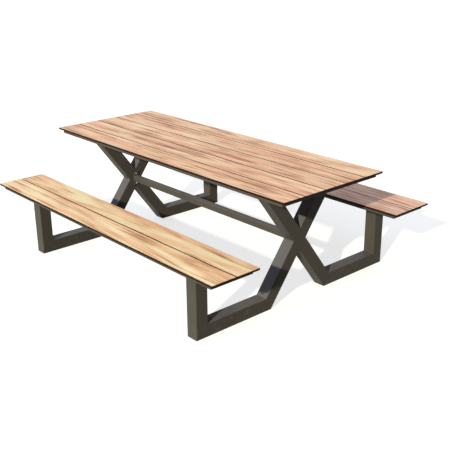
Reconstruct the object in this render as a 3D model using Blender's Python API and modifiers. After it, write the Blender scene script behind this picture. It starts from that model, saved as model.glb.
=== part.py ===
# Picnic table: a boarded top and two boarded benches on two X-shaped end frames.
# Metres, +Z up. The origin is on the ground under the middle of the table, X runs along
# the table and Y across it. "front" is the -Y side, "left" the -X end.

import bpy
import bmesh
from mathutils import Matrix, Vector

# Overall sizes
LENGTH = 2.20                # tabletop and benches are equally long
TABLE_WIDTH = 0.80
TABLE_HEIGHT = 0.75
BENCH_WIDTH = 0.32
SEAT_HEIGHT = 0.444
KNEE_GAP = 0.1625            # seen from above, from the tabletop's edge to the bench's

# Boards
TABLE_BOARDS = 5
BENCH_BOARDS = 2
BOARD_THICKNESS = 0.012
BOARD_GAP = 0.006
BOARD_EASE = 0.0012          # rounding of a board's edges

# Under-frames: a mitred rim of small tube with bearers across it
RIM_END_INSET = 0.031        # from the boards' ends to the rim
RIM_SIDE_INSET = 0.020       # and from their long edges
RIM_WIDTH = 0.030
RIM_HEIGHT = 0.025
RIM_WALL = 0.0018
MIDDLE_BEARER_WIDTH = 0.040

# End frames: square tube, all in one plane
TUBE = 0.080
TUBE_WALL = 0.003
FRAME_OVERHANG = 0.252       # from the frame's outer face to the boards' end
LEG_FOOT = 0.227             # the leg's lower edge meets the ground this far from the middle
LEG_HEAD_INSET = 0.095       # and meets the under-frame this far in from the tabletop's edge
POST_OFFSET = 0.016          # the post stands this far outside the bench's middle

# Plates that close the legs and posts, and bolt to the bearers
HEAD_PLATE = 0.005
HEAD_PLATE_LENGTH = 0.160
HEAD_BOLT_SPACING = 0.136
HEAD_HOLE = 0.009

# The stretcher that joins the two crossings
STRETCHER = 0.040
STRETCHER_WALL = 0.0025
FLANGE = 0.006
FLANGE_HEIGHT = 0.100
FLANGE_BOLT_SPACING = 0.070

# Flange bolts
BOLT = 0.008
BOLT_LENGTH = 0.020
BOLT_HEAD = 0.014
BOLT_HEAD_HEIGHT = 0.0045
BOLT_HOLE_CLEARANCE = 0.0005

# Fits
GAP = 0.0003                 # between pieces that touch
CORNER_EXTRA = 0.0006        # a tube's inner corner keeps this radius
CORNER_STEPS = 2
ROUND_STEPS = 24
MERGE = 0.00001
OVERRUN = 0.15               # a tube is made this much too long at each end, then cut

# What follows from the sizes above
FRAME_X = LENGTH / 2 - FRAME_OVERHANG - TUBE / 2
BENCH_Y = TABLE_WIDTH / 2 + KNEE_GAP + BENCH_WIDTH / 2
POST_Y = BENCH_Y + POST_OFFSET
LEG_HEAD = TABLE_WIDTH / 2 - LEG_HEAD_INSET
TABLE_UNDERSIDE = TABLE_HEIGHT - BOARD_THICKNESS - GAP - RIM_HEIGHT
SEAT_UNDERSIDE = SEAT_HEIGHT - BOARD_THICKNESS - GAP - RIM_HEIGHT

LEG_SPAN = Vector((0.0, LEG_FOOT + LEG_HEAD, TABLE_UNDERSIDE))
LEG_RUN = LEG_SPAN.normalized()
LEG_UPPER_SIDE = Vector((0.0, -LEG_RUN.z, LEG_RUN.y))
LEG_MIDDLE = Vector((0.0, -LEG_FOOT, 0.0)) + LEG_UPPER_SIDE * TUBE / 2
CROSSING_Z = LEG_MIDDLE.z - LEG_MIDDLE.y * LEG_RUN.z / LEG_RUN.y
STRETCHER_Z = CROSSING_Z

ALONG = Vector((1.0, 0.0, 0.0))
ACROSS = Vector((0.0, 1.0, 0.0))
UP = Vector((0.0, 0.0, 1.0))

POWDER_COAT = {"colour": (0.075, 0.065, 0.055), "roughness": 0.45, "metallic": 0.0}
LAMINATE = {"colour": (0.62, 0.40, 0.24), "roughness": 0.55, "metallic": 0.0}
STEEL = {"colour": (0.45, 0.45, 0.44), "roughness": 0.35, "metallic": 1.0}


def clear_scene():
    for old in list(bpy.data.objects):
        bpy.data.objects.remove(old, do_unlink=True)


def make_collection(name):
    collection = bpy.data.collections.new(name)
    bpy.context.scene.collection.children.link(collection)
    return collection


clear_scene()
PARTS = make_collection("picnic_table")
CUTTERS = make_collection("cutters")


def finish(name, look):
    material = bpy.data.materials.new(name + "_finish")
    material.use_nodes = True
    shader = material.node_tree.nodes["Principled BSDF"]
    shader.inputs["Base Color"].default_value = (*look["colour"], 1.0)
    shader.inputs["Roughness"].default_value = look["roughness"]
    shader.inputs["Metallic"].default_value = look["metallic"]
    return material


def place(name, bm, look, matrix):
    """Turns a bmesh into a named part with its own material."""
    bmesh.ops.recalc_face_normals(bm, faces=bm.faces[:])
    mesh = bpy.data.meshes.new(name)
    bm.to_mesh(mesh)
    bm.free()
    mesh.materials.append(finish(name, look))
    part = bpy.data.objects.new(name, mesh)
    part.matrix_world = matrix
    PARTS.objects.link(part)
    return part


def box_bmesh(size, ease=0.0):
    bm = bmesh.new()
    bmesh.ops.create_cube(bm, size=1.0, matrix=Matrix.Diagonal((*size, 1.0)))
    if ease:
        bmesh.ops.bevel(bm, geom=bm.edges[:], offset=ease, segments=CORNER_STEPS,
                        profile=0.5, affect="EDGES")
    return bm


def drill(part, centre, axis, diameter, depth):
    """Cuts a round hole through a part; the cutter stays in its own collection."""
    bm = bmesh.new()
    bmesh.ops.create_cone(bm, cap_ends=True, segments=ROUND_STEPS, radius1=diameter / 2,
                          radius2=diameter / 2, depth=depth)
    mesh = bpy.data.meshes.new(part.name + "_drill")
    bm.to_mesh(mesh)
    bm.free()
    cutter = bpy.data.objects.new(part.name + "_drill", mesh)
    cutter.location = centre
    cutter.rotation_euler = axis.to_track_quat("Z", "Y").to_euler()
    cutter.hide_render = True
    cutter.display_type = "WIRE"
    CUTTERS.objects.link(cutter)
    hole = part.modifiers.new("hole", "BOOLEAN")
    hole.operation = "DIFFERENCE"
    hole.object = cutter


def hollow_section(length, width, height, wall):
    """An open-ended tube along X, its width along Y and its height along Z."""
    bm = bmesh.new()
    bmesh.ops.create_cube(bm, size=1.0, matrix=Matrix.Diagonal((length, width, height, 1.0)))
    corners = [edge for edge in bm.edges if abs(edge.verts[0].co.x - edge.verts[1].co.x) > length / 2]
    bmesh.ops.bevel(bm, geom=corners, offset=wall + CORNER_EXTRA, segments=CORNER_STEPS,
                    profile=0.5, affect="EDGES")
    ends = [face for face in bm.faces if abs(face.normal.x) > 0.5]
    bmesh.ops.delete(bm, geom=ends, context="FACES_ONLY")
    bmesh.ops.solidify(bm, geom=bm.faces[:], thickness=wall)
    return bm


def cut_off(bm, point, outward):
    """Removes what lies past a plane, on the side outward points to, and closes the cut."""
    everything = bm.verts[:] + bm.edges[:] + bm.faces[:]
    result = bmesh.ops.bisect_plane(bm, geom=everything, plane_co=point, plane_no=outward,
                                    clear_outer=True)
    rim = [item for item in result["geom_cut"] if isinstance(item, bmesh.types.BMEdge)]
    bmesh.ops.triangle_fill(bm, edges=rim, normal=outward, use_beauty=True)


def tube(name, start, end, side, size, cuts):
    """A hollow tube from start to end, with its width along side.

    size is (width, height, wall). Each cut is a (point, outward) plane that trims an end.
    """
    run = (end - start).normalized()
    height_run = run.cross(side)
    middle = (start + end) / 2
    frame = Matrix((run, side, height_run)).transposed().to_4x4()
    frame.translation = middle
    width, height, wall = size
    bm = hollow_section((end - start).length + 2 * OVERRUN, width, height, wall)
    to_local = frame.inverted()
    for point, outward in cuts:
        cut_off(bm, to_local @ point, to_local.to_3x3() @ outward)
    return place(name, bm, POWDER_COAT, frame)


def mitre(corner, run, other_run):
    """The end cut of a tube that leaves a corner along run and meets one along other_run."""
    outward = (other_run - run).normalized()
    return corner - outward * GAP / 2, outward


def square_cut(point, outward):
    return point - outward * GAP, outward


def mirrored(vector, side):
    """Turns a point or direction given for the +Y side to the side asked for."""
    return Vector((vector.x, vector.y * side, vector.z))


def boarded_top(name, middle_y, width, boards, top_z):
    """Boards side by side on a mitred rim of tube, with bearers where the frames carry it."""
    board_width = (width - (boards - 1) * BOARD_GAP) / boards
    for number in range(boards):
        y = middle_y - width / 2 + board_width / 2 + number * (board_width + BOARD_GAP)
        centre = Vector((0.0, y, top_z - BOARD_THICKNESS / 2))
        place(f"{name}_board_{number + 1}", box_bmesh((LENGTH, board_width, BOARD_THICKNESS), BOARD_EASE),
              LAMINATE, Matrix.Translation(centre))

    rim_z = top_z - BOARD_THICKNESS - GAP - RIM_HEIGHT / 2
    half_length = LENGTH / 2 - RIM_END_INSET - RIM_WIDTH / 2
    half_width = width / 2 - RIM_SIDE_INSET - RIM_WIDTH / 2
    rim_size = (RIM_WIDTH, RIM_HEIGHT, RIM_WALL)
    for label, side in (("front", -1), ("back", 1)):
        start = Vector((-half_length, middle_y + side * half_width, rim_z))
        end = Vector((half_length, start.y, rim_z))
        inward = ACROSS * -side
        tube(f"{name}_{label}_rail", start, end, ACROSS, rim_size,
             (mitre(start, ALONG, inward), mitre(end, -ALONG, inward)))
    for label, side in (("left", -1), ("right", 1)):
        start = Vector((side * half_length, middle_y - half_width, rim_z))
        end = Vector((start.x, middle_y + half_width, rim_z))
        inward = ALONG * -side
        tube(f"{name}_{label}_rail", start, end, ALONG, rim_size,
             (mitre(start, ACROSS, inward), mitre(end, -ACROSS, inward)))

    reach = half_width - RIM_WIDTH / 2
    bearers = (("left", -FRAME_X, TUBE), ("middle", 0.0, MIDDLE_BEARER_WIDTH), ("right", FRAME_X, TUBE))
    for label, x, bearer_width in bearers:
        start = Vector((x, middle_y - reach, rim_z))
        end = Vector((x, middle_y + reach, rim_z))
        tube(f"{name}_{label}_bearer", start, end, ALONG, (bearer_width, RIM_HEIGHT, RIM_WALL),
             (square_cut(start, -ACROSS), square_cut(end, ACROSS)))


def head_plate(name, middle, underside):
    """The plate on a leg's or post's top end, with a bolt hole on each side of the tube."""
    centre = Vector((middle.x, middle.y, underside - GAP - HEAD_PLATE / 2))
    part = place(name, box_bmesh((TUBE, HEAD_PLATE_LENGTH, HEAD_PLATE)), POWDER_COAT,
                 Matrix.Translation(centre))
    for side in (-1, 1):
        drill(part, centre + ACROSS * side * HEAD_BOLT_SPACING / 2, UP, HEAD_HOLE, HEAD_PLATE * 3)


def end_frame(name, x):
    """Two crossing legs, and on each side a foot rail and a bench post, mitred together."""
    size = (TUBE, TUBE, TUBE_WALL)
    leg_top = TABLE_UNDERSIDE - 2 * GAP - HEAD_PLATE
    post_top = SEAT_UNDERSIDE - 2 * GAP - HEAD_PLATE
    crossing = Vector((x, 0.0, CROSSING_Z))

    # side is the one the foot stands on; the leg rises to the other one
    legs = {}
    for label, side in (("front", -1), ("back", 1)):
        run = mirrored(LEG_RUN, -side)
        knee = crossing - run * ((CROSSING_Z - TUBE / 2) / run.z)
        head = crossing + run * ((leg_top - CROSSING_Z) / run.z)
        outward = ACROSS * side
        foot_cut = mitre(knee, run, outward)
        head_cut = (head, UP)
        legs[label] = (knee, head, foot_cut, head_cut)

        corner = Vector((x, side * POST_Y, TUBE / 2))
        post_end = Vector((x, side * POST_Y, post_top))
        tube(f"{name}_{label}_foot_rail", knee, corner, ALONG, size,
             (mitre(knee, outward, run), mitre(corner, -outward, UP)))
        tube(f"{name}_{label}_post", corner, post_end, ALONG, size,
             (mitre(corner, UP, -outward), (post_end, UP)))
        head_plate(f"{name}_{label}_post_plate", post_end, SEAT_UNDERSIDE)
        tube_edge = Vector((x, -side * LEG_HEAD, leg_top))
        plate_middle = tube_edge + ACROSS * side * TUBE / LEG_RUN.z / 2
        opposite = "back" if label == "front" else "front"
        head_plate(f"{name}_{opposite}_leg_plate", plate_middle, TABLE_UNDERSIDE)

    # the leg that stands on the back side runs through; the other is cut in two against it
    knee, head, foot_cut, head_cut = legs["back"]
    through = tube(f"{name}_through_leg", knee, head, ALONG, size, (foot_cut, head_cut))
    face = mirrored(LEG_UPPER_SIDE, -1)
    knee, head, foot_cut, head_cut = legs["front"]
    above = crossing + face * TUBE / 2
    below = crossing - face * TUBE / 2
    tube(f"{name}_upper_half_leg", crossing, head, ALONG, size,
         (square_cut(above, -face), head_cut))
    tube(f"{name}_lower_half_leg", knee, crossing, ALONG, size,
         (foot_cut, square_cut(below, face)))
    return through


def bolt(name, seat, outward):
    """A button-head bolt: its head's underside is at seat, its shank points the other way."""
    half_head = BOLT_HEAD / 2
    profile = ((0.0, BOLT_HEAD_HEIGHT), (half_head * 0.55, BOLT_HEAD_HEIGHT),
               (half_head * 0.88, BOLT_HEAD_HEIGHT * 0.6), (half_head, 0.0),
               (BOLT / 2, 0.0), (BOLT / 2, -BOLT_LENGTH), (0.0, -BOLT_LENGTH))
    mesh = bpy.data.meshes.new(name)
    points = [(radius, 0.0, z) for radius, z in profile]
    mesh.from_pydata(points, [(i, i + 1) for i in range(len(points) - 1)], [])
    mesh.materials.append(finish(name, STEEL))
    part = bpy.data.objects.new(name, mesh)
    part.location = seat
    part.rotation_euler = outward.to_track_quat("Z", "Y").to_euler()
    PARTS.objects.link(part)
    turn = part.modifiers.new("turn", "SCREW")
    turn.steps = ROUND_STEPS
    turn.render_steps = ROUND_STEPS
    turn.use_merge_vertices = True
    turn.merge_threshold = MERGE


def stretcher(through_legs):
    """The tube between the crossings, a bolted flange at each end, and the flanges' bolts."""
    inner_face = FRAME_X - TUBE / 2
    plate_face = inner_face - GAP - FLANGE
    tube_end = plate_face - GAP
    start = Vector((-tube_end, 0.0, STRETCHER_Z))
    end = Vector((tube_end, 0.0, STRETCHER_Z))
    tube("stretcher", start, end, ACROSS, (STRETCHER, STRETCHER, STRETCHER_WALL),
         ((start, -ALONG), (end, ALONG)))

    hole = BOLT + BOLT_HOLE_CLEARANCE
    for (label, side), through in zip((("left", -1), ("right", 1)), through_legs):
        centre = Vector((side * (plate_face + FLANGE / 2), 0.0, STRETCHER_Z))
        plate = place(f"{label}_flange", box_bmesh((FLANGE, STRETCHER, FLANGE_HEIGHT)),
                      POWDER_COAT, Matrix.Translation(centre))
        for level, height in (("lower", -1), ("upper", 1)):
            z = STRETCHER_Z + height * FLANGE_BOLT_SPACING / 2
            drill(plate, Vector((centre.x, 0.0, z)), ALONG, hole, FLANGE * 3)
            drill(through, Vector((side * inner_face, 0.0, z)), ALONG, hole, TUBE_WALL * 4)
            bolt(f"{label}_flange_{level}_bolt", Vector((side * (plate_face - GAP), 0.0, z)),
                 ALONG * -side)


def build():
    boarded_top("table", 0.0, TABLE_WIDTH, TABLE_BOARDS, TABLE_HEIGHT)
    for label, side in (("front", -1), ("back", 1)):
        boarded_top(f"{label}_bench", side * BENCH_Y, BENCH_WIDTH, BENCH_BOARDS, SEAT_HEIGHT)
    through_legs = [end_frame(name, x) for name, x in (("left_frame", -FRAME_X), ("right_frame", FRAME_X))]
    stretcher(through_legs)


build()
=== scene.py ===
# Looks of a picnic table: a boarded top and two boarded benches on two welded X frames.
# Metres, +Z up, the ground at z = 0 and the table running along X. Colours are sRGB hex.

import random
from math import cos, radians, sin, tau

import bmesh
import bpy
import numpy as np
from mathutils import Matrix, Vector
from mathutils.bvhtree import BVHTree
from mathutils.geometry import convex_hull_2d


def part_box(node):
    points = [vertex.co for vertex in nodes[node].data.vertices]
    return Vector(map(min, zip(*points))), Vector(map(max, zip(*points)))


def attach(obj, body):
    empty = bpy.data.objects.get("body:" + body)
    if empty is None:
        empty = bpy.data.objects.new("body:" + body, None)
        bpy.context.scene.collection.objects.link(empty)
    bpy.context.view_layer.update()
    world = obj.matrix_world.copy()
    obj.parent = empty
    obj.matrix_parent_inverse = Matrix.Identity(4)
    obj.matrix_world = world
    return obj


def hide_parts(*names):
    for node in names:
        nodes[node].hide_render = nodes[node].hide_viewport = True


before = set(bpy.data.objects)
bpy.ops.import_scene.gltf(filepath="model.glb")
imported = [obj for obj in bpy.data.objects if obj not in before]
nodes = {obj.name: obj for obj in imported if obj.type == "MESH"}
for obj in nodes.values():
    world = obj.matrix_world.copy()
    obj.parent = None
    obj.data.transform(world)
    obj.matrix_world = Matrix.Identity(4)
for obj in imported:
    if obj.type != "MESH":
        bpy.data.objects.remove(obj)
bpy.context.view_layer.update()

scene = bpy.context.scene
mm = 0.001
body = "root"                      # nothing moves, so there is one body
ends = ("left", "right")           # along X
sides = ("front", "back")          # along Y
tops = ("table", "front_bench", "back_bench")
along = Vector((1, 0, 0))
down = Vector((0, 0, -1))
print("frame loaded:", len(nodes), "parts")


# Camera: off the right-hand front corner, looking down on the tabletop
camera = {
    "place": (3.631, -3.031, 2.024),
    "turn": 48.47,                 # degrees to the left of +Y
    "tilt": -20.96,
    "roll": -0.48,
    "lens": 61.2,
    "sensor": 36.0,
}


def makeCamera():
    lens = bpy.data.cameras.new("camera")
    lens.sensor_width = camera["sensor"]
    lens.lens = camera["lens"]
    holder = bpy.data.objects.new("camera", lens)
    scene.collection.objects.link(holder)
    turn = Matrix.Rotation(radians(camera["turn"]), 4, "Z")
    tilt = Matrix.Rotation(radians(90 + camera["tilt"]), 4, "X")
    roll = Matrix.Rotation(radians(camera["roll"]), 4, "Z")
    holder.matrix_world = Matrix.Translation(camera["place"]) @ turn @ tilt @ roll
    scene.camera = holder


makeCamera()
scene.view_settings.view_transform = "Standard"
print("camera set")


# Shader helpers
def linearColour(code):
    channels = [int(code[at:at + 2], 16) / 255 for at in (1, 3, 5)]
    return [c / 12.92 if c <= 0.04045 else ((c + 0.055) / 1.055) ** 2.4 for c in channels] + [1.0]


def addNode(tree, kind, settings={}, links={}):
    # settings are the node's own properties, its inputs, or a ramp's stops as (position, hex)
    # pairs; a link comes from a socket, or from a node's first output
    node = tree.nodes.new("ShaderNode" + kind)
    for name, value in settings.items():
        if name == "stops":
            ramp = node.color_ramp.elements
            while len(ramp) < len(value):
                ramp.new(1.0)
            for stop, (position, code) in zip(ramp, value):
                stop.position = position
                stop.color = linearColour(code)
        elif isinstance(name, str) and hasattr(node, name):
            setattr(node, name, value)
        else:
            node.inputs[name].default_value = value
    for name, source in links.items():
        socket = source.outputs[0] if isinstance(source, bpy.types.Node) else source
        tree.links.new(socket, node.inputs[name])
    return node


def newMaterial(name):
    material = bpy.data.materials.new(name)
    material.use_nodes = True
    return material, material.node_tree, material.node_tree.nodes["Principled BSDF"]


def layPatterns(tree, place, patterns, shift=(0, 0, 0)):
    # each pattern: its grain in mm along X, Y and Z, its detail and its roughness
    made = {}
    for name, (grain, detail, rough) in patterns.items():
        scale = [1 / (size * mm) for size in grain]
        spot = addNode(tree, "Mapping", {"Location": shift, "Scale": scale}, {"Vector": place})
        made[name] = addNode(tree, "TexNoise", {"Scale": 1.0, "Detail": detail, "Roughness": rough},
                             {"Vector": spot})
    return made


def connect(tree, shader, links):
    for name, node in links.items():
        tree.links.new(node.outputs[0], shader.inputs[name])


# Light: one key from the front, a broad soft fill from the left and above, and a pale floor
# that runs into white
studio = {
    "keyFrom": (0.81, -1.94, 1.0),
    "key": 4.2,
    "keyColour": "#fff6e6",
    "keySpread": 1.6,              # degrees, for shadows with a slightly soft edge
    "fills": (                     # each from a direction, with its strength in the middle
        ((-0.6, -0.7, 0.5), 1.4),
        ((-0.5, 0.9, 0.3), 0.45)),  # weak, for the sides that the first leaves dark
    "fillColour": "#d8e6ff",
    "fillReach": -0.3,             # cosine of the angle where a fill has faded out
    "fillFalloff": 2.0,
    "floorSize": 80.0,
    "floorColour": "#beb7ad",      # warm, so that the cool fill leaves its shadows neutral
    "floorBounce": "#5a5a5a",      # what the table gets back from the floor
    "floorGlow": 0.70,             # lifts the lit floor to white and leaves the shadow grey
}


def seenDirectly(tree):
    # 1 for rays that show the background itself: straight, mirrored or through glass
    path = addNode(tree, "LightPath").outputs
    mirrored = addNode(tree, "Math", {"operation": "MAXIMUM"},
                       {0: path["Is Glossy Ray"], 1: path["Is Transmission Ray"]})
    return addNode(tree, "Math", {"operation": "MAXIMUM"}, {0: path["Is Camera Ray"], 1: mirrored})


def makeLight():
    key = bpy.data.lights.new("key", "SUN")
    key.energy = studio["key"]
    key.color = linearColour(studio["keyColour"])[:3]
    key.angle = radians(studio["keySpread"])
    lamp = bpy.data.objects.new("key", key)
    lamp.rotation_euler = Vector(studio["keyFrom"]).to_track_quat("Z", "Y").to_euler()
    scene.collection.objects.link(lamp)

    world = bpy.data.worlds.new("studio")
    world.use_nodes = True
    scene.world = world
    tree = world.node_tree
    direction = addNode(tree, "TexCoord").outputs["Generated"]
    strength = addNode(tree, "Math", {"operation": "MULTIPLY", 0: 0.0, 1: 0.0})    # starts at nothing
    for middle, most in studio["fills"]:
        axis = Vector(middle).normalized()
        facing = addNode(tree, "VectorMath", {"operation": "DOT_PRODUCT", 1: axis}, {0: direction})
        toward = addNode(tree, "MapRange", {"From Min": studio["fillReach"], "From Max": 1.0},
                         {"Value": facing.outputs["Value"]})
        falloff = addNode(tree, "Math", {"operation": "POWER", 1: studio["fillFalloff"]}, {0: toward})
        strength = addNode(tree, "Math", {"operation": "MULTIPLY_ADD", 1: most}, {0: falloff, 2: strength})
    fill = addNode(tree, "Background", {"Color": linearColour(studio["fillColour"])}, {"Strength": strength})
    white = addNode(tree, "Background", {"Color": (1, 1, 1, 1), "Strength": 1.0})
    shown = addNode(tree, "MixShader", {}, {0: seenDirectly(tree), 1: fill, 2: white})
    connect(tree, tree.nodes["World Output"], {"Surface": shown})


def makeFloor():
    mesh = bpy.data.meshes.new("floor")
    bm = bmesh.new()
    bmesh.ops.create_grid(bm, x_segments=1, y_segments=1, size=studio["floorSize"] / 2)
    bm.to_mesh(mesh)
    bm.free()
    floor = bpy.data.objects.new("floor", mesh)
    scene.collection.objects.link(floor)
    material, tree, shader = newMaterial("pale studio floor")
    tree.nodes.remove(shader)
    paper = addNode(tree, "BsdfDiffuse", {"Color": linearColour(studio["floorColour"])})
    dull = addNode(tree, "BsdfDiffuse", {"Color": linearColour(studio["floorBounce"])})
    glow = addNode(tree, "Emission", {"Strength": studio["floorGlow"]})
    lit = addNode(tree, "AddShader", {}, {0: paper, 1: glow})
    shown = addNode(tree, "MixShader", {}, {0: seenDirectly(tree), 1: dull, 2: lit})
    connect(tree, tree.nodes["Material Output"], {"Surface": shown})
    mesh.materials.append(material)


makeLight()
makeFloor()
print("light and floor set")


# Boards: compact laminate, a printed teak decor pressed under melamine on a dark core.
# To the eye: a satin face with long honey and rust-brown streaks, and a nearly black cut edge.
laminate = {
    "decor": ((0.10, "#fff3d6"), (0.36, "#fde7c2"), (0.56, "#f3d0a8"), (0.78, "#c4946f"), (1.0, "#7b4f35")),
    "rosy": "#fae4e0",             # parts of the decor lean to pink
    "core": ((0.30, "#17100c"), (0.70, "#2b2019")),
    "coreRoughness": 0.75,
    "coreSpecular": 0.1,
    "seamShade": "#40291c",            # painted shade along the seams, laid on the faces near each board edge
    "seamShadeReach": 6.0,             # mm
    "seamShadeMost": 0.8,
    # the back bench's tint is darker and bluer: painted shade, where the tabletop shades that bench
    "tintsAndShade": {"table": "#f9ece2", "front_bench": "#fffce9", "back_bench": "#eedfe4"},
    "shades": (0.92, 1.0),         # boards differ this much in lightness
    "depths": {"table": 1.12, "front_bench": 1.0, "back_bench": 1.1},
    "ringShare": 0.14,             # of the decor's depth of tone
    "layers": {                    # noise at which a layer starts and is full, and its share
        "veins": (0.40, 0.64, 0.38),
        "lines": (0.48, 0.62, 0.22),
        "mottle": (0.36, 0.64, 0.26),
        "fibres": (0.34, 0.66, 0.14),
    },
    "ringSpacing": 14.0,           # mm between growth rings at the heart
    "wander": {"wander": ((900, 70, 70), 2, 0.5)},
    "wanderBy": 11.0,              # mm
    "patterns": {
        "veins": ((1300, 17, 17), 4, 0.65),
        "lines": ((700, 5, 5), 3, 0.6),
        "mottle": ((300, 75, 75), 3, 0.55),
        "rosiness": ((700, 50, 50), 2, 0.5),
        "fibres": ((70, 1.5, 1.5), 3, 0.7),     # real fibres are 0.2 mm, too fine to show
        "hands": ((260, 180, 180), 4, 0.5),
        "saw": ((1.5, 1.5, 60), 2, 0.5),        # cutter marks on the edge, really 0.3 mm apart
    },
    "relief": 0.08,                # mm of grain pressed into the face
    "roughness": 0.44,
    "specular": 0.4,
    "ior": 1.5,                    # melamine resin
    "seed": 11,
}


def compactLaminate(name, tintAndShade, depth, middleY, draw):
    material, tree, shader = newMaterial(name)
    look = laminate
    place = addNode(tree, "TexCoord").outputs["Object"]
    shift = [draw.uniform(0, 40) for _ in range(3)]
    wander = layPatterns(tree, place, look["wander"], shift)["wander"]
    reach = look["wanderBy"] * mm
    sway = addNode(tree, "MapRange", {"From Min": 0.3, "From Max": 0.7, "To Min": -reach, "To Max": reach},
                   {"Value": wander})
    bend = addNode(tree, "CombineXYZ", {}, {"Y": sway})
    bent = addNode(tree, "VectorMath", {"operation": "ADD"}, {0: place, 1: bend})
    pattern = layPatterns(tree, bent, look["patterns"], shift)

    # the log's heart lies just under the face and slants, so the rings open into long arches
    heart = (draw.uniform(-0.3, 0.3), draw.uniform(-0.04, 0.04) - middleY, draw.uniform(-0.70, -0.68))
    slant = radians(draw.choice((-1, 1)) * draw.uniform(1.5, 3.0))
    log = addNode(tree, "Mapping", {"Location": heart, "Rotation": (0, slant, 0)}, {"Vector": bent})
    ringScale = tau / (20 * look["ringSpacing"] * mm)       # the wave runs 20 radians per unit
    rings = addNode(tree, "TexWave", {"wave_type": "RINGS", "rings_direction": "X", "Scale": ringScale},
                    {"Vector": log})

    # the rings and the layers of noise add up to the depth of tone
    tone = addNode(tree, "Math", {"operation": "MULTIPLY", 1: look["ringShare"] * depth},
                   {0: rings.outputs["Fac"]})
    for layer, (low, high, share) in look["layers"].items():
        part = addNode(tree, "MapRange", {"From Min": low, "From Max": high, "To Max": share * depth},
                       {"Value": pattern[layer]})
        tone = addNode(tree, "Math", {"operation": "ADD"}, {0: tone, 1: part})
    decor = addNode(tree, "ValToRGB", {"stops": look["decor"]}, {"Fac": tone})
    rosy = addNode(tree, "MapRange", {"From Min": 0.42, "From Max": 0.62}, {"Value": pattern["rosiness"]})
    flushed = addNode(tree, "MixRGB", {"blend_type": "MULTIPLY", "Color2": linearColour(look["rosy"])},
                      {"Fac": rosy, "Color1": decor})
    shade = draw.uniform(*look["shades"])
    # for the back bench this tint holds painted shade
    boardTintAndShade = [channel * shade for channel in linearColour(tintAndShade)[:3]] + [1.0]
    printed = addNode(tree, "MixRGB", {"blend_type": "MULTIPLY", "Fac": 1.0, "Color2": boardTintAndShade},
                      {"Color1": flushed})

    # near an edge a bevelled normal turns away from the true one, and there the face is darkened with painted
    # shade, for the shade in the seams
    soft = addNode(tree, "Bevel", {"samples": 4, "Radius": look["seamShadeReach"] * mm})
    true = addNode(tree, "NewGeometry").outputs["Normal"]
    match = addNode(tree, "VectorMath", {"operation": "DOT_PRODUCT"}, {0: soft, 1: true}).outputs["Value"]
    seam = addNode(tree, "MapRange", {"From Min": 0.995, "From Max": 0.90, "To Max": look["seamShadeMost"]},
                   {"Value": match})
    colour = addNode(tree, "MixRGB", {"Color2": linearColour(look["seamShade"])},
                     {"Fac": seam, "Color1": printed})

    # the pressed grain and handling marks break up the sheen
    polish = look["roughness"]
    dull = addNode(tree, "MapRange", {"From Min": 0.35, "From Max": 0.65, "To Min": polish - 0.10,
                                      "To Max": polish}, {"Value": pattern["hands"]})
    rough = addNode(tree, "Math", {"operation": "MULTIPLY_ADD", 1: 0.2}, {0: pattern["fibres"], 2: dull})
    bump = addNode(tree, "Bump", {"Strength": 0.6, "Distance": look["relief"] * mm},
                   {"Height": pattern["fibres"]})
    shader.inputs["IOR"].default_value = look["ior"]
    shader.inputs["Specular IOR Level"].default_value = look["specular"]
    connect(tree, shader, {"Base Color": colour, "Roughness": rough, "Normal": bump})

    # cut edges show the core, sawn matt with upright cutter marks
    dark = addNode(tree, "ValToRGB", {"stops": look["core"]}, {"Fac": pattern["saw"]})
    sawn = addNode(tree, "Bump", {"Strength": 0.6, "Distance": look["relief"] * mm},
                   {"Height": pattern["saw"]})
    core = addNode(tree, "BsdfPrincipled",
                   {"Roughness": look["coreRoughness"], "IOR": look["ior"],
                    "Specular IOR Level": look["coreSpecular"]},
                   {"Base Color": dark, "Normal": sawn})
    upright = addNode(tree, "SeparateXYZ", {}, {0: true}).outputs["Z"]
    level = addNode(tree, "Math", {"operation": "ABSOLUTE"}, {0: upright})
    face = addNode(tree, "MapRange", {"From Min": 0.78, "From Max": 0.92}, {"Value": level})
    whole = addNode(tree, "MixShader", {}, {0: face, 1: core, 2: shader})
    connect(tree, tree.nodes["Material Output"], {"Surface": whole})
    return material


def dressBoards():
    draw = random.Random(laminate["seed"])
    for top in tops:
        for name in sorted(name for name in nodes if name.startswith(top + "_board_")):
            low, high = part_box(name)
            material = compactLaminate("teak-decor compact laminate " + name, laminate["tintsAndShade"][top],
                                       laminate["depths"][top], (low.y + high.y) / 2, draw)
            nodes[name].material_slots[0].material = material


dressBoards()
print("boards dressed")


# Steel: polyester powder coat, fine-textured and matt, sprayed and baked on welded tube.
# To the eye: dark taupe with a faint sandy tooth, thinner and paler on sharp edges.
powder = {
    "film": ((0.25, "#48453d"), (0.75, "#545047")),
    "thinFilm": "#757064",
    "edge": 1.6,                   # mm
    "edgeMost": 0.6,
    "skyReflection": "#8d91a0",            # painted reflection of the blue sky on what faces up
    "skyReflectionMost": 0.16,
    "dust": "#988f80",
    "dustMost": 0.14,
    "scuffMost": 0.2,
    "patterns": {
        "grit": ((0.9, 0.9, 0.9), 3, 0.6),      # the real tooth is 0.3 mm, too fine to show
        "peel": ((6, 6, 6), 1, 0.5),            # the gentle waviness of a baked film
        "cloud": ((160, 160, 160), 3, 0.5),
        "scratches": ((3, 45, 45), 4, 0.7),
    },
    "relief": 0.05,                # mm
    "roughness": 0.5,
    "specular": 0.07,              # the tooth swallows most of the sheen
    "ior": 1.5,
}


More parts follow.
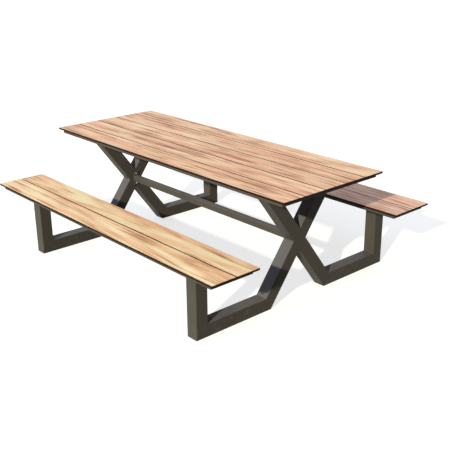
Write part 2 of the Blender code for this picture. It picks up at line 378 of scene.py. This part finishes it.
def powderCoat(name, scuffedTo):
    # scuffedTo is the height up to which shoes reach; 0 is nowhere
    material, tree, shader = newMaterial(name)
    look = powder
    place = addNode(tree, "TexCoord").outputs["Object"]
    pattern = layPatterns(tree, place, look["patterns"])
    mixed = addNode(tree, "MixRGB", {"Fac": 0.35}, {"Color1": pattern["cloud"], "Color2": pattern["grit"]})
    film = addNode(tree, "ValToRGB", {"stops": look["film"]}, {"Fac": mixed})

    # a bevelled normal differs from the true one only near an edge
    soft = addNode(tree, "Bevel", {"samples": 4, "Radius": look["edge"] * mm})
    true = addNode(tree, "NewGeometry").outputs["Normal"]
    match = addNode(tree, "VectorMath", {"operation": "DOT_PRODUCT"}, {0: soft, 1: true}).outputs["Value"]
    patch = addNode(tree, "MapRange", {"From Min": 0.40, "From Max": 0.62}, {"Value": pattern["cloud"]})
    edge = addNode(tree, "MapRange", {"From Min": 0.99, "From Max": 0.85, "To Max": look["edgeMost"]},
                   {"Value": match})
    worn = addNode(tree, "Math", {"operation": "MULTIPLY"}, {0: edge, 1: patch})
    thinned = addNode(tree, "MixRGB", {"Color2": linearColour(look["thinFilm"])},
                      {"Fac": worn, "Color1": film})

    # a painted sky reflection tints what faces up bluish grey, dust settles there, and shoes scuff what is
    # low
    upright = addNode(tree, "SeparateXYZ", {}, {0: true}).outputs["Z"]
    skyReflectionShare = addNode(tree, "MapRange", {"From Min": 0.25, "From Max": 0.6, "To Max": look["skyReflectionMost"]},
                    {"Value": upright})
    withSkyReflection = addNode(tree, "MixRGB", {"Color2": linearColour(look["skyReflection"])},
                      {"Fac": skyReflectionShare, "Color1": thinned})
    level = addNode(tree, "MapRange", {"From Min": 0.5, "From Max": 1.0, "To Max": look["dustMost"]},
                    {"Value": upright})
    dirt = addNode(tree, "Math", {"operation": "MULTIPLY"}, {0: level, 1: patch})
    if scuffedTo:
        height = addNode(tree, "SeparateXYZ", {}, {0: place}).outputs["Z"]
        low = addNode(tree, "MapRange", {"From Min": scuffedTo * 1.3, "From Max": scuffedTo * 0.9},
                      {"Value": height})
        marks = addNode(tree, "MapRange", {"From Min": 0.56, "From Max": 0.72, "To Max": look["scuffMost"]},
                        {"Value": pattern["scratches"]})
        dirt = addNode(tree, "Math", {"operation": "MULTIPLY_ADD"}, {0: low, 1: marks, 2: dirt})
    colour = addNode(tree, "MixRGB", {"Color2": linearColour(look["dust"])}, {"Fac": dirt, "Color1": withSkyReflection})

    matt = look["roughness"]
    rough = addNode(tree, "MapRange", {"From Min": 0.3, "From Max": 0.7, "To Min": matt - 0.04,
                                       "To Max": matt + 0.04}, {"Value": pattern["cloud"]})
    relief = addNode(tree, "Math", {"operation": "MULTIPLY_ADD", 1: 0.4},
                     {0: pattern["grit"], 2: pattern["peel"]})
    bump = addNode(tree, "Bump", {"Strength": 0.5, "Distance": look["relief"] * mm}, {"Height": relief})
    shader.inputs["IOR"].default_value = look["ior"]
    shader.inputs["Specular IOR Level"].default_value = look["specular"]
    connect(tree, shader, {"Base Color": colour, "Roughness": rough, "Normal": bump})
    return material


frameCoat = powderCoat("fine-texture powder coat on frame tube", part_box("left_frame_front_foot_rail")[1].z)
rimCoat = powderCoat("fine-texture powder coat on under-frame tube", 0)
for name in nodes:
    if "_board_" not in name and not name.endswith("_bolt"):
        nodes[name].material_slots[0].material = rimCoat if name.startswith(tops) else frameCoat
print("steel dressed")


# Fasteners: A2 stainless steel, cold-headed and tumbled clean.
# To the eye: a soft grey shine with tiny dents.
stainless = {
    "steel": ((0.3, "#a9a7a2"), (0.7, "#c9c7c1")),
    "patterns": {
        "dents": ((1.1, 1.1, 1.1), 2, 0.5),
        "film": ((7, 7, 7), 3, 0.6),
    },
    "relief": 0.04,                # mm
    "roughness": 0.26,
}


def stainlessSteel(name):
    material, tree, shader = newMaterial(name)
    look = stainless
    place = addNode(tree, "TexCoord").outputs["Object"]
    pattern = layPatterns(tree, place, look["patterns"])
    colour = addNode(tree, "ValToRGB", {"stops": look["steel"]}, {"Fac": pattern["film"]})
    shine = look["roughness"]
    rough = addNode(tree, "MapRange", {"From Min": 0.3, "From Max": 0.7, "To Min": shine - 0.05,
                                       "To Max": shine + 0.10}, {"Value": pattern["film"]})
    bump = addNode(tree, "Bump", {"Strength": 0.4, "Distance": look["relief"] * mm},
                   {"Height": pattern["dents"]})
    shader.inputs["Metallic"].default_value = 1.0
    connect(tree, shader, {"Base Color": colour, "Roughness": rough, "Normal": bump})
    return material


boltSteel = stainlessSteel("tumbled stainless steel")

# Each piece is a stack of rings from its tip to its head, as (half width mm, height mm, flats);
# height 0 is the seat under the head, and 0 flats makes the ring round
fasteners = {
    "segments": 36,
    "flangeBolt": (                # M8 button head with a hexagon socket
        (3.1, -19.0, 0), (3.95, -18.0, 0), (3.95, 0.0, 0), (6.6, 0.0, 0), (7.0, 0.35, 0), (6.8, 1.5, 0),
        (6.1, 2.8, 0), (5.0, 3.8, 0), (3.9, 4.3, 0), (3.1, 4.4, 0), (2.5, 4.1, 6), (2.5, 1.8, 6)),
    "plateBolt": (                 # M8 hexagon head
        (3.1, -15.0, 0), (3.95, -14.0, 0), (3.95, 0.0, 0), (5.9, 0.0, 0), (6.3, 0.3, 0), (6.5, 0.35, 6),
        (6.5, 4.6, 6), (6.3, 5.1, 0), (5.7, 5.3, 0)),
    "washer": (                    # open ring: up the hole, then down the rim
        (4.2, 0.0, 0), (4.2, 1.6, 0), (7.7, 1.6, 0), (8.0, 1.3, 0), (8.0, 0.3, 0), (7.7, 0.0, 0)),
    "washerThick": 1.6,
    "boardScrew": (                # 5 mm pan head with a small hexagon drive
        (0.3, -26.0, 0), (1.7, -22.0, 0), (2.0, 0.0, 0), (4.5, 0.0, 0), (4.75, 0.4, 0), (4.7, 1.3, 0),
        (4.1, 2.3, 0), (3.0, 2.9, 0), (2.1, 3.0, 0), (1.75, 2.8, 6), (1.75, 1.2, 6)),
}


def addTurned(bm, rings, seat, outward, isOpen=False):
    # isOpen joins the last ring to the first instead of capping both
    aim = Matrix.Translation(seat) @ outward.to_track_quat("Z", "Y").to_matrix().to_4x4()
    segments = fasteners["segments"]
    loops = []
    for half, height, flats in rings:
        loop = []
        for step in range(segments):
            angle = tau * step / segments
            radius = half
            if flats:
                wedge = tau / flats
                radius = half / cos(angle % wedge - wedge / 2)
            loop.append(bm.verts.new(aim @ (Vector((radius * cos(angle), radius * sin(angle), height)) * mm)))
        loops.append(loop)
    pairs = list(zip(loops, loops[1:]))
    if isOpen:
        pairs.append((loops[-1], loops[0]))
    else:
        bm.faces.new(reversed(loops[0]))
        bm.faces.new(loops[-1])
    for lower, upper in pairs:
        for step in range(segments):
            after = (step + 1) % segments
            bm.faces.new((lower[step], lower[after], upper[after], upper[step]))


def finishPiece(name, bm, material, sharpAngle=32):
    bmesh.ops.recalc_face_normals(bm, faces=bm.faces[:])
    mesh = bpy.data.meshes.new(name)
    bm.to_mesh(mesh)
    bm.free()
    mesh.materials.append(material)
    mesh.shade_smooth()
    mesh.set_sharp_from_angle(angle=radians(sharpAngle))
    piece = bpy.data.objects.new(name, mesh)
    scene.collection.objects.link(piece)
    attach(piece, body)
    return piece


def boltFlanges():
    for end, inward in zip(ends, (along, -along)):
        low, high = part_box(f"{end}_flange")
        face = high.x if end == "left" else low.x
        for level in ("lower", "upper"):
            node = f"{end}_flange_{level}_bolt"
            below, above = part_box(node)
            bm = bmesh.new()
            addTurned(bm, fasteners["flangeBolt"], Vector((face, 0, (below.z + above.z) / 2)), inward)
            piece = finishPiece(f"{end}_{level}_button_bolt", bm, boltSteel)
            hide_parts(node)


# Head plates: two bolts each, up into the bearer, with a washer under each head
plates = {
    "boltSpacing": 0.136,          # as the holes in the plates
}


def boltPlates():
    for end in ends:
        for side in sides:
            for part in ("leg", "post"):
                low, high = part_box(f"{end}_frame_{side}_{part}_plate")
                middle = (low + high) / 2
                bm = bmesh.new()
                for way in (-1, 1):
                    seat = Vector((middle.x, middle.y + way * plates["boltSpacing"] / 2, low.z))
                    addTurned(bm, fasteners["washer"], seat, down, isOpen=True)
                    seat.z -= fasteners["washerThick"] * mm
                    addTurned(bm, fasteners["plateBolt"], seat, down)
                finishPiece(f"{end}_{side}_{part}_plate_bolts", bm, boltSteel)


# Board screws: up through the under-frame, two to a board on each cross member, and a row
# along each long rail
screws = {
    "fromEdge": 0.032,             # from a board's edge, on the cross members
    "railSpacing": 0.34,
    "plateMargin": 0.012,          # kept clear around a head plate
    "headRoom": 0.006,             # kept clear beside a long rail
}


def plateAt(x, y):
    margin = screws["plateMargin"]
    for end in ends:
        for side in sides:
            for part in ("leg", "post"):
                low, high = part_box(f"{end}_frame_{side}_{part}_plate")
                if low.x - margin < x < high.x + margin and low.y - margin < y < high.y + margin:
                    return True
    return False


def screwBoards():
    room = screws["headRoom"]
    for top in tops:
        bm = bmesh.new()
        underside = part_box(f"{top}_left_bearer")[0].z
        front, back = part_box(f"{top}_front_rail"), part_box(f"{top}_back_rail")
        boards = [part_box(name) for name in nodes if name.startswith(top + "_board_")]
        for member in ("left_rail", "left_bearer", "middle_bearer", "right_bearer", "right_rail"):
            low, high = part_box(f"{top}_{member}")
            x = (low.x + high.x) / 2
            for board in boards:
                for y in (board[0].y + screws["fromEdge"], board[1].y - screws["fromEdge"]):
                    isClear = front[1].y < y - room and y + room < back[0].y
                    if isClear and not plateAt(x, y):
                        addTurned(bm, fasteners["boardScrew"], Vector((x, y, underside)), down)
        for rail in (front, back):
            y = (rail[0].y + rail[1].y) / 2
            length = rail[1].x - rail[0].x
            count = int(length / screws["railSpacing"])
            for step in range(count):
                x = rail[0].x + length * (step + 0.5) / count
                addTurned(bm, fasteners["boardScrew"], Vector((x, y, underside)), down)
        finishPiece(f"{top}_board_screws", bm, boltSteel)


boltFlanges()
boltPlates()
screwBoards()
print("fasteners made")


# Welds: MIG beads under the powder coat. Mitres are dressed nearly flush with a grinder;
# where a tube meets a plate or another tube, the bead is left as it was laid.
weld = {
    "reach": 0.6,                  # mm; ends this near to the next part are a seam
    "dressed": (3.0, 2.5),         # bead radius and how deep its middle sits, mm
    "laid": (2.4, 0.7),
    "small": (1.8, 1.2),
    "pitch": 4.0,                  # mm between ripples
    "ripple": {"dressed": 0.03, "laid": 0.12, "small": 0.08},
    "step": 1.4,                   # mm between points along a bead
    "shortest": 0.001,             # mm; a shorter run between two points is skipped
    "groundGap": 0.2,              # mm, so that no bead goes through the ground
}


def seamLoop(tube, neighbour):
    # the outline of a tube's end where it meets its neighbour
    mesh = nodes[neighbour].data
    surface = BVHTree.FromPolygons([v.co for v in mesh.vertices], [p.vertices for p in mesh.polygons])
    touching = [v.co for v in nodes[tube].data.vertices
                if surface.find_nearest(v.co, weld["reach"] * mm)[0] is not None]
    points = np.array(touching)
    middle = points.mean(0)
    first, second, _ = np.linalg.svd(points - middle)[2]
    flat = [((point - middle) @ first, (point - middle) @ second) for point in points]
    return [Vector(points[at]) for at in convex_hull_2d(flat)]


def layBead(curve, loop, kind):
    radius, depth = weld[kind]
    middle = sum(loop, Vector()) / len(loop)
    path = []
    for start, end in zip(loop, loop[1:] + loop[:1]):
        run = end - start
        if run.length < weld["shortest"] * mm:
            continue
        inward = middle - start
        inward = (inward - inward.project(run)).normalized()
        steps = max(1, round(run.length / (weld["step"] * mm)))
        path += [start + run * step / steps + inward * depth * mm for step in range(steps)]
    spline = curve.splines.new("POLY")
    spline.points.add(len(path) - 1)
    spline.use_cyclic_u = True
    travelled = 0.0
    for at, (point, spot) in enumerate(zip(spline.points, path)):
        travelled += (spot - path[at - 1]).length if at else 0.0
        lift = max(spot.z, (radius + weld["groundGap"]) * mm)
        point.co = (spot.x, spot.y, lift, 1.0)
        point.radius = radius * (1 + weld["ripple"][kind] * sin(tau * travelled / (weld["pitch"] * mm)))


def weldPiece(name, seams, material):
    # seams are (tube, neighbour, kind); point radii are in mm
    curve = bpy.data.curves.new(name, "CURVE")
    curve.dimensions = "3D"
    curve.bevel_depth = mm
    curve.bevel_resolution = 2
    for tube, neighbour, kind in seams:
        layBead(curve, seamLoop(tube, neighbour), kind)
    curve.materials.append(material)
    piece = bpy.data.objects.new(name, curve)
    scene.collection.objects.link(piece)
    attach(piece, body)


def weldAll():
    for end in ends:
        own = f"{end}_frame_"
        seams = [(own + "upper_half_leg", own + "through_leg", "laid"),
                 (own + "lower_half_leg", own + "through_leg", "laid"),
                 (own + "upper_half_leg", own + "back_leg_plate", "laid"),
                 (own + "through_leg", own + "front_leg_plate", "laid"),
                 (own + "lower_half_leg", own + "front_foot_rail", "dressed"),
                 (own + "through_leg", own + "back_foot_rail", "dressed")]
        for side in sides:
            seams += [(own + side + "_post", own + side + "_foot_rail", "dressed"),
                      (own + side + "_post", own + side + "_post_plate", "laid")]
        weldPiece(own + "welds", seams, frameCoat)
    for top in tops:
        seams = []
        for side in sides:
            rail = f"{top}_{side}_rail"
            seams += [(rail, f"{top}_{end}_rail", "small") for end in ends]
            seams += [(f"{top}_{place}_bearer", rail, "small") for place in ("left", "middle", "right")]
        weldPiece(f"{top}_rim_welds", seams, rimCoat)
    weldPiece("stretcher_welds", [("stretcher", f"{end}_flange", "laid") for end in ends],
              frameCoat)


weldAll()
print("welds laid")
